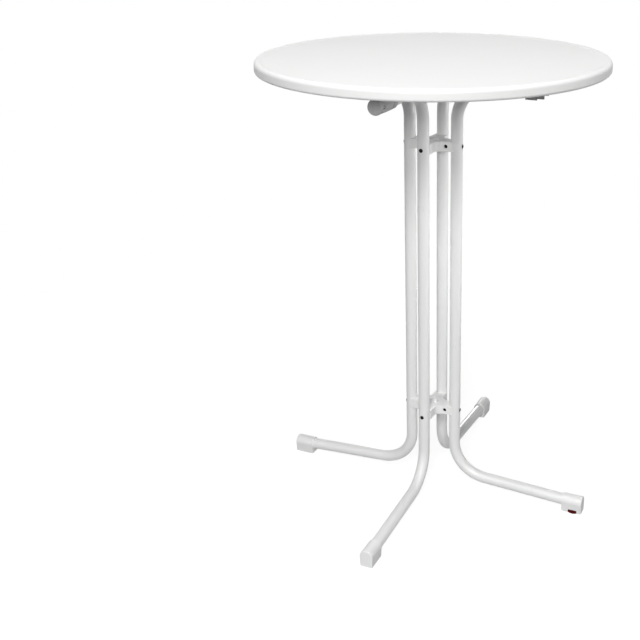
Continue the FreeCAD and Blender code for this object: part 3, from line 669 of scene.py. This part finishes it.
# %% The barrel nuts
NUT_EDGE = 0.7 * MM
DRIVE_HALF, DRIVE_REACH, DRIVE_DEPTH = 0.7 * MM, 8 * MM, 1.5 * MM      # the slot for a screwdriver
barrel = lathe("barrel", soft_path([
    (0, -nut_half, 0), (NUT_RADIUS, -nut_half, NUT_EDGE), (NUT_RADIUS, nut_half, NUT_EDGE), (0, nut_half, 0)],
    steps=3), steps=40)
slot_box = [(-DRIVE_HALF, -DRIVE_REACH), (DRIVE_HALF, -DRIVE_REACH),
            (DRIVE_HALF, DRIVE_REACH), (-DRIVE_HALF, DRIVE_REACH)]
slot = prism("slot", slot_box, nut_half - DRIVE_DEPTH, nut_half + MM)
one_nut = placed(carved(barrel, slot), LAID_ACROSS, moved(x=NUT_PLACE))
for name, height in block_heights.items():
    nuts = [placed(one_nut, turned(angle), moved(z=height)) for angle in DIRECTIONS.values()]
    add_piece("barrel_nuts_" + name, together("nuts", nuts), "base", "dark_steel", name + "_barrel_nuts")

# %% [markdown]
# ## The shoes
# Each foot ends in a moulded shoe: a level arch over the end of the sloping tube that runs down into a flat
# sole. It could be a block with bevels, but the arch has to keep its round while its edges soften, so it is
# skinned from arches: every ring has the same number of points, and only its inset changes along the foot.
# The first rings turn in and make the sleeve that takes the tube.

# %% An arch across the foot
SHOE_BASE, SHOE_ROUND, SHOE_LIP = 15 * MM, 2.5 * MM, 0.8 * MM
SOLE_EDGE, SOLE_SOFT = 1.2 * MM, 0.8 * MM
SLEEVE_FIT, SLEEVE_END = 0.1 * MM, 1.5 * MM      # round the tube, and past its end
shoe_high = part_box("foot_cap_right")[1]
shoe_radius = shoe_high.y
crown_axis = shoe_high.z - shoe_radius


def shoe_arch(x, floor, inset=0.0):
    """Outline across the foot at x: round crown, sides that lean in to the sole, and the sole itself."""
    rise = crown_axis - floor
    lean = math.atan2(rise, SHOE_BASE) - math.acos(shoe_radius / math.hypot(rise, SHOE_BASE))
    crown = arc(0, crown_axis, shoe_radius - inset, -math.degrees(lean), 180 + math.degrees(lean), 40)
    low = floor + min(inset, SOLE_SOFT)
    side = crown[0]
    foot = side.x - (side.y - low) * math.tan(lean)
    sole = soft_path([(-side.x, side.y, 0), (-foot, low, SOLE_EDGE),
                      (foot, low, SOLE_EDGE), (side.x, side.y, 0)], steps=4)
    return [(x, y, z) for y, z in crown + sole[1:-1]]


def sleeve_ring(x, arch):
    """Points on the sleeve round the sloping tube, each in line with a point of an arch."""
    axis = FOOT_AXIS + (foot_reach - x) * math.tan(FOOT_SLOPE)
    radius = tube_radius + SLEEVE_FIT
    around = [math.atan2(z - axis, y) for _, y, z in arch]
    return [(x, radius * math.cos(angle), axis + radius * math.sin(angle)) for angle in around]


print("an arch has", len(shoe_arch(foot_reach, 0)), "points")

# %% Skin the shoes
def shoe(floor):
    """One shoe along +X with its sole at a height."""
    back = shoe_arch(shoe_back, floor, SHOE_LIP)
    rings = [sleeve_ring(foot_end + SLEEVE_END, back), sleeve_ring(shoe_back, back), back]
    for angle in (30, 60, 90):
        bend = math.radians(angle)
        x = shoe_back + SHOE_LIP * (1 - math.cos(bend))
        rings.append(shoe_arch(x, floor, SHOE_LIP * (1 - math.sin(bend))))
    for angle in range(0, 91, 15):
        bend = math.radians(angle)
        x = foot_reach - SHOE_ROUND * (1 - math.sin(bend))
        rings.append(shoe_arch(x, floor, SHOE_ROUND * (1 - math.cos(bend))))
    return skin("shoe", rings)


plain_shoe = shoe(0.0)
for name in ("back", "left", "front"):
    add_piece("shoe_" + name, placed(plain_shoe, turned(DIRECTIONS[name])), "base", "moulded_white",
              "foot_cap_" + name)

# %% [markdown]
# ## The levelling foot
# Under the right shoe a red pad on a screw takes up an uneven floor. The pad is wider than the shoe, so
# that fingers reach its notches through a window on each side; the screw sits in it by a neck and runs in a
# brass bush in the shoe. The shoe's edge comes down almost to the floor, as in the photograph, and leaves
# the pad a hair of room. The thread is drawn as a real helix: the radius of each point depends on its
# height and on its angle together.

# %% The right shoe and its recess
pad_low, pad_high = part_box("leveller_pad")
pad_x = (pad_low.x + pad_high.x) / 2
pad_radius = (pad_high.x - pad_low.x) / 2
bush_low, bush_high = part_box("leveller_insert")
SOLE_LIFT, RECESS_GAP = 0.6 * MM, 0.8 * MM
bush_radius = (bush_high.x - bush_low.x) / 2
recess = [(0, SOLE_LIFT - MM), (pad_radius + RECESS_GAP, SOLE_LIFT - MM),
          (pad_radius + RECESS_GAP, bush_low.z), (bush_radius, bush_low.z), (bush_radius, bush_high.z),
          (0, bush_high.z)]
recess_tool = placed(lathe("recess", recess, steps=96), moved(x=pad_x))
add_piece("shoe_right", carved(shoe(SOLE_LIFT), recess_tool), "base", "moulded_white", "foot_cap_right")

# %% The red pad
GRIPS, GRIP_DEPTH, PAD_EDGE = 24, 0.75 * MM, 1.0 * MM
pad_height = pad_high.z - pad_low.z


def pad_ring(inset, height):
    """A ring with finger notches, drawn in by an inset."""
    def radius_at(angle):
        notch = max(0.0, math.cos(GRIPS * angle)) ** 1.5
        return pad_radius - inset - GRIP_DEPTH * notch
    return polar_ring(radius_at, height, steps=240)


pad_rings = [pad_ring(PAD_EDGE, 0), pad_ring(0.3 * PAD_EDGE, 0.3 * PAD_EDGE), pad_ring(0, PAD_EDGE),
             pad_ring(0, pad_height - PAD_EDGE), pad_ring(0.3 * PAD_EDGE, pad_height - 0.3 * PAD_EDGE),
             pad_ring(PAD_EDGE, pad_height)]
red_pad = placed(skin("pad", pad_rings), moved(x=pad_x, z=pad_low.z))
add_piece("levelling_pad", red_pad, "leveller_foot", "leveller_red", "leveller_pad", crease=50)

# %% The threaded stud
PITCH, THREAD_DEPTH, STUD_STEPS = 1.25 * MM, 0.7 * MM, 32
NECK_RADIUS, NECK_LENGTH = 2.5 * MM, 4 * MM
stud_low, stud_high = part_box("leveller_stud")
stud_radius = (stud_high.x - stud_low.x) / 2
stud_length = stud_high.z - stud_low.z - NECK_LENGTH


def thread_ring(height):
    """A ring of the screw: a flat-topped ridge that climbs one pitch a turn and fades at both ends."""
    fade = max(0.0, min(1.0, height / PITCH, (stud_length - height) / PITCH))

    def radius_at(angle):
        climb = (height / PITCH - angle / math.tau) % 1.0
        valley = max(0.0, 1 - abs(climb - 0.5) * 2.6)
        return stud_radius - THREAD_DEPTH * valley * fade
    return polar_ring(radius_at, height, STUD_STEPS)


levels = int(stud_length / PITCH * 8)
stud_rings = [turned_ring(NECK_RADIUS, -NECK_LENGTH, STUD_STEPS), turned_ring(NECK_RADIUS, 0, STUD_STEPS)]
stud_rings += [thread_ring(stud_length * level / levels) for level in range(levels - 3)]
stud_rings.append(turned_ring(stud_radius - MM, stud_length, STUD_STEPS))
stud = placed(skin("stud", stud_rings), moved(x=pad_x, z=stud_low.z + NECK_LENGTH))
add_piece("levelling_stud", stud, "leveller_screw", "bright_steel", "leveller_stud", crease=50)

# %% [markdown]
# ## The hinges
# The top tips up about two pins in the ends of the front and left arms. A moulded housing slides over each
# arm: a collar with a ring groove, then a blunt nose, slotted at 45 degrees for the tongue of a bracket
# screwed under the top. The housing is turned first, then the slot and the pin's hole are cut where the
# real ones are.

# %% Turn and slot the housings
COLLAR_LENGTH, COLLAR_BEVEL = 45 * MM, 2 * MM
NOSE, NOSE_ROUND = 17 * MM, 5 * MM
GROOVE_WIDTH, GROOVE_DEPTH = 5 * MM, 1.2 * MM
housing_low, housing_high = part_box("hinge_socket_front")
collar, housing_back, housing_tip = housing_high.x, -housing_high.y, -housing_low.y
collar_end = housing_back + COLLAR_LENGTH
groove = housing_back + (COLLAR_LENGTH - GROOVE_WIDTH) / 2
housing_profile = [Vector((tube_radius, housing_back + 8 * MM))] + soft_path([
    (tube_radius, housing_back, 0),
    (collar - COLLAR_BEVEL, housing_back, 0.6 * MM),
    (collar, housing_back + COLLAR_BEVEL, 1.2 * MM),
    (collar, groove, 0.5 * MM),
    (collar - GROOVE_DEPTH, groove, 0.4 * MM),
    (collar - GROOVE_DEPTH, groove + GROOVE_WIDTH, 0.4 * MM),
    (collar, groove + GROOVE_WIDTH, 0.5 * MM),
    (collar, collar_end - COLLAR_BEVEL, 1.2 * MM),
    (NOSE, collar_end, MM),
    (NOSE, housing_tip, NOSE_ROUND),
    (0, housing_tip, 0),
], steps=8)
housing = placed(lathe("housing", housing_profile, steps=72), ALONG_ARM)
SLOT_HALF, SLOT_WIDTH = 9.4 * MM, 10.8 * MM
PIN_RADIUS = 4.05 * MM
CLEAR, PIN_CUT = 60 * MM, 50 * MM        # cuts that run this far leave the housing
slot_plan = soft_path([(-SLOT_HALF, -SLOT_HALF, 6 * MM), (CLEAR, -SLOT_HALF, 0), (CLEAR, CLEAR, 0),
                       (-SLOT_HALF, CLEAR, 0)], closed=True)
slot_tool = placed(prism("slot", slot_plan, -SLOT_WIDTH / 2, SLOT_WIDTH / 2), LAID_ACROSS)
pin_profile = [(0, -PIN_RADIUS), (PIN_RADIUS, -PIN_RADIUS), (PIN_RADIUS, PIN_CUT), (0, PIN_CUT)]
pin_tool = lathe("pin_hole", pin_profile, steps=32)
HINGES = {"front": 1, "left": -1}       # side of the slot on which the pin's outer end lies
for name, outer in HINGES.items():
    at_pin = [Matrix.Rotation(TIP_SIDE, 4, "Z"), turned(DIRECTIONS[name]).inverted(), moved(x=HINGE_REACH)]
    bore = placed(pin_tool, Matrix.Rotation(math.radians(-90 * outer), 4, "X"), *at_pin)
    open_housing = carved(carved(housing, placed(slot_tool, *at_pin)), bore)
    # the housings take the greyer moulding, painted shade for the top's shadow
    add_piece("hinge_housing_" + name, placed(open_housing, turned(DIRECTIONS[name]), moved(z=arm_height)),
              "base", "moulded_white", "hinge_socket_" + name, finish="painted_shade_under_top")

# %% The hinge brackets
PLATE, PLATE_WIDTH, PLATE_LENGTH = 4 * MM, 50 * MM, 58 * MM
TONGUE, TONGUE_HALF, GUSSET = 10 * MM, 9 * MM, 8 * MM
plate_under = underside - arm_height - PLATE
shoulder = plate_under - PLATE


def rectangle(width, length, radius):
    x, y = width / 2, length / 2
    return soft_path([(x, y, radius), (-x, y, radius), (-x, -y, radius), (x, -y, radius)], closed=True)


def bracket():
    """One bracket about its pin: a screwed plate, a round-ended tongue and two gussets."""
    plate = prism("plate", rectangle(PLATE_WIDTH, PLATE_LENGTH, 8 * MM), plate_under, plate_under + PLATE)
    inside = plate_under + PLATE / 2
    tongue_plan = arc(0, 0, TONGUE_HALF, 180, 360, 20) + [
        Vector((TONGUE_HALF, shoulder)), Vector((PLATE_WIDTH / 2 - PLATE, plate_under)),
        Vector((PLATE_WIDTH / 2 - PLATE, inside)), Vector((PLATE - PLATE_WIDTH / 2, inside)),
        Vector((PLATE - PLATE_WIDTH / 2, plate_under)), Vector((-TONGUE_HALF, shoulder))]
    tongue = placed(prism("tongue", tongue_plan, -TONGUE / 2, TONGUE / 2), LAID_ACROSS)
    foot = PLATE_LENGTH / 2 - PLATE
    gusset_plan = [(-TONGUE_HALF, shoulder), (TONGUE_HALF, shoulder), (foot, plate_under), (foot, inside),
                   (-foot, inside), (-foot, plate_under)]
    gusset = placed(prism("gusset", gusset_plan, -GUSSET / 2, GUSSET / 2), LAID_ACROSS, turned(90))
    return softened(merged(merged(plate, tongue), gusset), 0.8 * MM)


def at_hinge(mesh, name):
    """A mesh drawn about the pin, brought to one of the hinges."""
    spot = turned(DIRECTIONS[name]) @ Vector((HINGE_REACH, 0, 0))
    return placed(mesh, Matrix.Rotation(TIP_SIDE, 4, "Z"), moved(spot.x, spot.y, arm_height))


one_bracket = bracket()
for name in HINGES:
    # the brackets take the greyer moulding, painted shade for the top's shadow
    add_piece("hinge_bracket_plate_" + name, at_hinge(one_bracket, name), "top", "moulded_white",
              "hinge_bracket_" + name, finish="painted_shade_under_top")

# %% [markdown]
# ## Saddles, plugs and screws
# The other two arms lie loose in saddles under the top, so that the top can lift off them. The jaws of a
# saddle reach below the tube and flare a little, which guides the arm home when the top comes down; the
# longer jaw, with a step in its edge, is the one that shows under the rim. Plugs close the arms' ends, and
# everything under the top is held by pan-headed screws with a cross recess.

# %% The saddles
clip_low, clip_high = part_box("clip_right")
clip_length, clip_reach = clip_high.x - clip_low.x, (clip_high.x + clip_low.x) / 2
NEAR_MOUTH, FAR_MOUTH = -20 * MM, -15 * MM        # lower ends of the two jaws, from the arm's axis
CLIP_FLARE, CLIP_STEP, STEP_LENGTH = 1.2 * MM, 3.5 * MM, 16 * MM
CLIP_FIT, CLIP_WALL = 0.4 * MM, 5 * MM
channel = tube_radius + CLIP_FIT
mouth_half = channel + CLIP_FLARE
clip_half = channel + CLIP_WALL
flange_half = clip_high.y
under_arm = underside - arm_height
clip_plan = [(mouth_half, FAR_MOUTH, 0.8 * MM), (clip_half, FAR_MOUTH, 1.5 * MM),
             (clip_half, plate_under, 2 * MM), (flange_half, plate_under, MM),
             (flange_half, under_arm, 0), (-flange_half, under_arm, 0),
             (-flange_half, plate_under, MM), (-clip_half, plate_under, 2 * MM),
             (-clip_half, NEAR_MOUTH, 1.5 * MM), (-mouth_half, NEAR_MOUTH, 0.8 * MM)]
clip_plan += [(x, y, 0) for x, y in arc(0, 0, channel, 180, 0, 28)]
RIB = 4 * MM
core_low, core_high = channel + RIB, plate_under - RIB / 2
core_in, core_out = RIB / 2, clip_half - RIB
# a plan drawn in (y, z) is stood across the arm
ON_END = Matrix(((0, 0, 1, 0), (1, 0, 0, 0), (0, 1, 0, 0), (0, 0, 0, 1)))
saddle_outline = soft_path(clip_plan, closed=True, steps=4)
saddle = placed(prism("saddle", saddle_outline, -clip_length / 2, clip_length / 2), ON_END)
step_plan = rectangle(2 * STEP_LENGTH, 3 * clip_half, MM)
step_tool = prism("step", step_plan, NEAR_MOUTH - MM, NEAR_MOUTH + CLIP_STEP)
saddle = softened(carved(saddle, placed(step_tool, moved(x=clip_length / 2))), 0.6 * MM)
core_plan = soft_path([(core_in, core_low, MM), (core_out, core_low, MM), (core_out, core_high, MM),
                       (core_in, core_high, MM)], closed=True, steps=4)
window = placed(prism("window", core_plan, -clip_length, clip_length), ON_END)
other = placed(window, turned(180))
saddle = carved(saddle, together("windows", [window, other]))
for name in ("right", "back"):
    mesh = placed(saddle, moved(x=clip_reach, z=arm_height), turned(DIRECTIONS[name]))
    # the saddles take the greyer moulding, painted shade for the top's shadow
    add_piece("arm_saddle_" + name, mesh, "top", "moulded_white", "clip_" + name, finish="painted_shade_under_top")

# %% The plugs
plug_low, plug_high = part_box("arm_plug_right")
PLUG_NOSE = tube_radius - 1.2 * MM
plug_stem = tube_radius - TUBE_WALL - 0.1 * MM
plug = lathe("plug", soft_path([
    (0, plug_low.x, 0), (plug_stem, plug_low.x, MM), (plug_stem, ARM_REACH, 0), (PLUG_NOSE, ARM_REACH, 0),
    (PLUG_NOSE, plug_high.x, 5 * MM), (0, plug_high.x, 0)], steps=10), steps=56)
for name in ("right", "back"):
    mesh = placed(plug, ALONG_ARM, turned(DIRECTIONS[name]), moved(z=arm_height))
    add_piece("tube_plug_" + name, mesh, "base", "moulded_white", "arm_plug_" + name)

# %% The pan-headed screws
SCREW_RADIUS, SCREW_HEAD, SCREW_HEAD_HEIGHT = 2 * MM, 4 * MM, 2.4 * MM
SCREW_INSET, SCREW_GRIP, SCREW_POINT = 8 * MM, 10 * MM, 3 * MM
BAR_WIDTH, BAR_LENGTH, BAR_DEPTH, BAR_ROUND = 1.1 * MM, 4.6 * MM, 1.3 * MM, 0.3 * MM     # the cross recess


def pan_screw():
    """One screw pointing up, its head's seat at height 0, with a cross recess."""
    body = lathe("screw", soft_path([
        (0, -SCREW_HEAD_HEIGHT, 0), (SCREW_HEAD, -SCREW_HEAD_HEIGHT, 1.6 * MM), (SCREW_HEAD, 0, 0.2 * MM),
        (SCREW_RADIUS, 0, 0), (SCREW_RADIUS, PLATE + SCREW_GRIP - SCREW_POINT, 0), (0, PLATE + SCREW_GRIP, 0)],
        steps=5), steps=32)
    for width, length in ((BAR_WIDTH, BAR_LENGTH), (BAR_LENGTH, BAR_WIDTH)):
        bar = rectangle(width, length, BAR_ROUND)
        body = carved(body, prism("recess", bar, -SCREW_HEAD_HEIGHT - MM, BAR_DEPTH - SCREW_HEAD_HEIGHT))
    return body


one_screw = pan_screw()


def screws(half_x, half_y):
    places = [(half_x, half_y), (-half_x, half_y), (-half_x, -half_y), (half_x, -half_y)]
    return together("screws", [placed(one_screw, moved(x, y, plate_under)) for x, y in places])


hinge_set = screws(PLATE_WIDTH / 2 - SCREW_INSET, PLATE_LENGTH / 2 - SCREW_INSET)
saddle_set = screws(clip_length / 2 - SCREW_INSET, (clip_half + flange_half) / 2)
for name in HINGES:
    add_piece("bracket_screws_" + name, at_hinge(hinge_set, name), "top", "bright_steel",
              "hinge_screws_" + name)
for name in ("right", "back"):
    mesh = placed(saddle_set, moved(x=clip_reach, z=arm_height), turned(DIRECTIONS[name]))
    add_piece("saddle_screws_" + name, mesh, "top", "bright_steel", "clip_screws_" + name)

# %% [markdown]
# ## Nodes that stay as packed
# The hinge pins and the brass bush are plain turned parts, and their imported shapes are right. They only
# need finishes.

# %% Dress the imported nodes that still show
for row in frame["record"]["subparts"]:
    node = frame["nodes"][row["node"]]
    if not node.hide_render:
        node.data.materials.clear()
        node.data.materials.append(FINISHES[row["material_slot"]])
        print("kept as packed:", row["node"], "in", row["material_slot"])

# %% [markdown]
# ## Stage and light
# A pale floor under soft lamps, as in a studio. The floor could be a plain white plane, but then it would
# need so much light to look white that the table would burn out. Instead the floor helps itself: to the
# camera it is a dim paper plus a glow of its own, so the open floor reaches white and the soft shadow under
# the table stays. Away from the table the camera looks through it into a world that is white to the camera
# and almost dark as a light, while the light that bounces off the floor still comes from a wide grey sheet,
# a little paler under the table.
#
# Four soft boxes in front and above do most of the work. They could light the whole table, but its top
# shades its own legs, so three small lamps with narrow beams reach in under it: two low ones from the right
# draw a bright edge along the uprights, and one is turned to the feet. The last box stands behind the
# table, lower than its top and straight across from the camera, so that it lights the back of the legs and
# adds almost nothing to what the camera sees.

# %% What the camera sees
def camera_sees(tree):
    """1 where a ray comes from the camera, a reflection or a transmission."""
    rays = add_node(tree, "LightPath")
    seen = math_node(tree, "MAXIMUM", rays.outputs["Is Camera Ray"], rays.outputs["Is Glossy Ray"])
    return math_node(tree, "MAXIMUM", seen, rays.outputs["Is Transmission Ray"])


print("camera mask ready")

# %% The floor
FLOOR_RADIUS = 10.0
FADE_START, FADE_END = 0.6, 2.2         # metres from the table, for what the camera sees
PAPER_NEAR, PAPER_FAR = 0.42, 0.2       # as a light, under the table and beyond it
PAPER_START, PAPER_END = 0.4, 1.0       # metres from the table, for the change between the two
PAPER_SEEN, PAPER_GLOW = 0.25, 0.88     # to the camera
floor_mesh = skin("floor", [[(0, 0, 0)], turned_ring(FLOOR_RADIUS, 0, 96)], caps=(False, False))
floor = bpy.data.objects.new("studio_floor", floor_mesh)
bpy.context.scene.collection.objects.link(floor)
paper = bpy.data.materials.new("studio paper")
paper.use_nodes = True
tree = paper.node_tree
shader = tree.nodes["Principled BSDF"]
shader.inputs["Roughness"].default_value = 0.9
shader.inputs["Specular IOR Level"].default_value = 0.0
shader.inputs["Emission Color"].default_value = (1.0, 1.0, 1.0, 1.0)
place = add_node(tree, "TexCoord").outputs["Object"]
distance = add_node(tree, "VectorMath", [(0, place)], operation="LENGTH").outputs["Value"]


def falling(start, end, near, far):
    """A value that changes smoothly with the distance from the table."""
    node = add_node(tree, "MapRange", [("Value", distance)], interpolation_type="SMOOTHSTEP")
    for name, number in (("From Min", start), ("From Max", end), ("To Min", near), ("To Max", far)):
        node.inputs[name].default_value = number
    return node.outputs[0]


seen = camera_sees(tree)
unseen = math_node(tree, "SUBTRACT", 1.0, seen)
as_light = math_node(tree, "MULTIPLY", unseen, falling(PAPER_START, PAPER_END, PAPER_NEAR, PAPER_FAR))
tree.links.new(math_node(tree, "MULTIPLY_ADD", seen, PAPER_SEEN, as_light), shader.inputs["Base Color"])
tree.links.new(math_node(tree, "MULTIPLY", seen, PAPER_GLOW), shader.inputs["Emission Strength"])
fade = falling(FADE_START, FADE_END, 1.0, 0.0)
tree.links.new(math_node(tree, "MAXIMUM", unseen, fade), shader.inputs["Alpha"])
floor.data.materials.append(paper)
print("floor of", 2 * FLOOR_RADIUS, "metres, fading from", FADE_START, "to", FADE_END)

# %% The world
FILL_LIGHT = 0.03
world = bpy.data.worlds.new("studio")
world.use_nodes = True
sky = world.node_tree
background = sky.nodes["Background"]
background.inputs["Color"].default_value = (1.0, 1.0, 1.0, 1.0)
strength = math_node(sky, "MULTIPLY_ADD", camera_sees(sky), 1.0 - FILL_LIGHT, FILL_LIGHT)
sky.links.new(strength, background.inputs["Strength"])
bpy.context.scene.world = world
print("fill light", FILL_LIGHT)

# %% Soft lamps
def soft_lamp(name, place, aim, size, power, beam=180):
    """A square soft box turned to a point, with a grid that keeps its beam within some degrees."""
    lamp = bpy.data.lights.new(name, "AREA")
    lamp.shape = "SQUARE"
    lamp.size = size
    lamp.energy = power
    lamp.spread = math.radians(beam)
    box = bpy.data.objects.new(name, lamp)
    box.location = place
    box.rotation_euler = (Vector(aim) - Vector(place)).to_track_quat("-Z", "Y").to_euler()
    bpy.context.scene.collection.objects.link(box)
    print("%s: %.2f W over %.1f m" % (name, power, size))


soft_lamp("key_box", (1.0, -2.85, 3.2), (0, 0, 0.7), 0.9, 50)
soft_lamp("front_box", (0.1, -3.0, 3.2), (0, 0, 0.7), 1.6, 24)
soft_lamp("forward_box", (1.05, -3.67, 2.2), (0, 0, 0.6), 0.9, 58)
soft_lamp("top_box", (0.3, -0.4, 3.8), (0, 0, 0.6), 2.4, 47)
soft_lamp("low_right", (3.25, 0.55, 0.75), (0, 0, 0.72), 0.6, 0.36, beam=18)
soft_lamp("low_back", (2.85, 1.65, 0.75), (0, 0, 0.72), 0.6, 0.45, beam=18)
soft_lamp("foot_box", (2.2, -1.2, 2.4), (0.1, -0.2, 0.03), 0.5, 0.13, beam=18)
soft_lamp("back_box", (-1.07, 2.59, 0.75), (0, 0, 0.6), 0.6, 18)

# %% [markdown]
# ## Camera
# The table is seen from a little above its top, about 23 degrees to the right of the front foot. The
# photograph's frame is wider than the table, so the camera's shift moves the table to the right of the
# picture and a little up.

# %% Camera
IMAGE = 640                       # pixels on each side of the picture
FOCUS_PIXELS = 1008.6             # focal length in pixels
MIDDLE_X, MIDDLE_Y = 433.2, 250.5       # where the camera's own axis meets the picture
CAMERA_DISTANCE, CAMERA_HEIGHT = 2.2866, 1.4579
CAMERA_SIDE, CAMERA_TILT = math.radians(22.5), 0.3459
lens = bpy.data.cameras.new("photo_camera")
lens.sensor_width = 36.0
lens.lens = FOCUS_PIXELS / IMAGE * lens.sensor_width
lens.shift_x = (IMAGE / 2 - MIDDLE_X) / IMAGE
lens.shift_y = (MIDDLE_Y - IMAGE / 2) / IMAGE
lens.clip_end = 100.0
camera = bpy.data.objects.new("photo_camera", lens)
camera.location = (CAMERA_DISTANCE * math.sin(CAMERA_SIDE), -CAMERA_DISTANCE * math.cos(CAMERA_SIDE),
                   CAMERA_HEIGHT)
camera.rotation_euler = (math.pi / 2 - CAMERA_TILT, 0.0, CAMERA_SIDE)
bpy.context.scene.collection.objects.link(camera)
bpy.context.scene.camera = camera
bpy.context.scene.view_settings.view_transform = "Standard"
print("lens %.1f mm at %s" % (lens.lens, tuple(round(x, 3) for x in camera.location)))
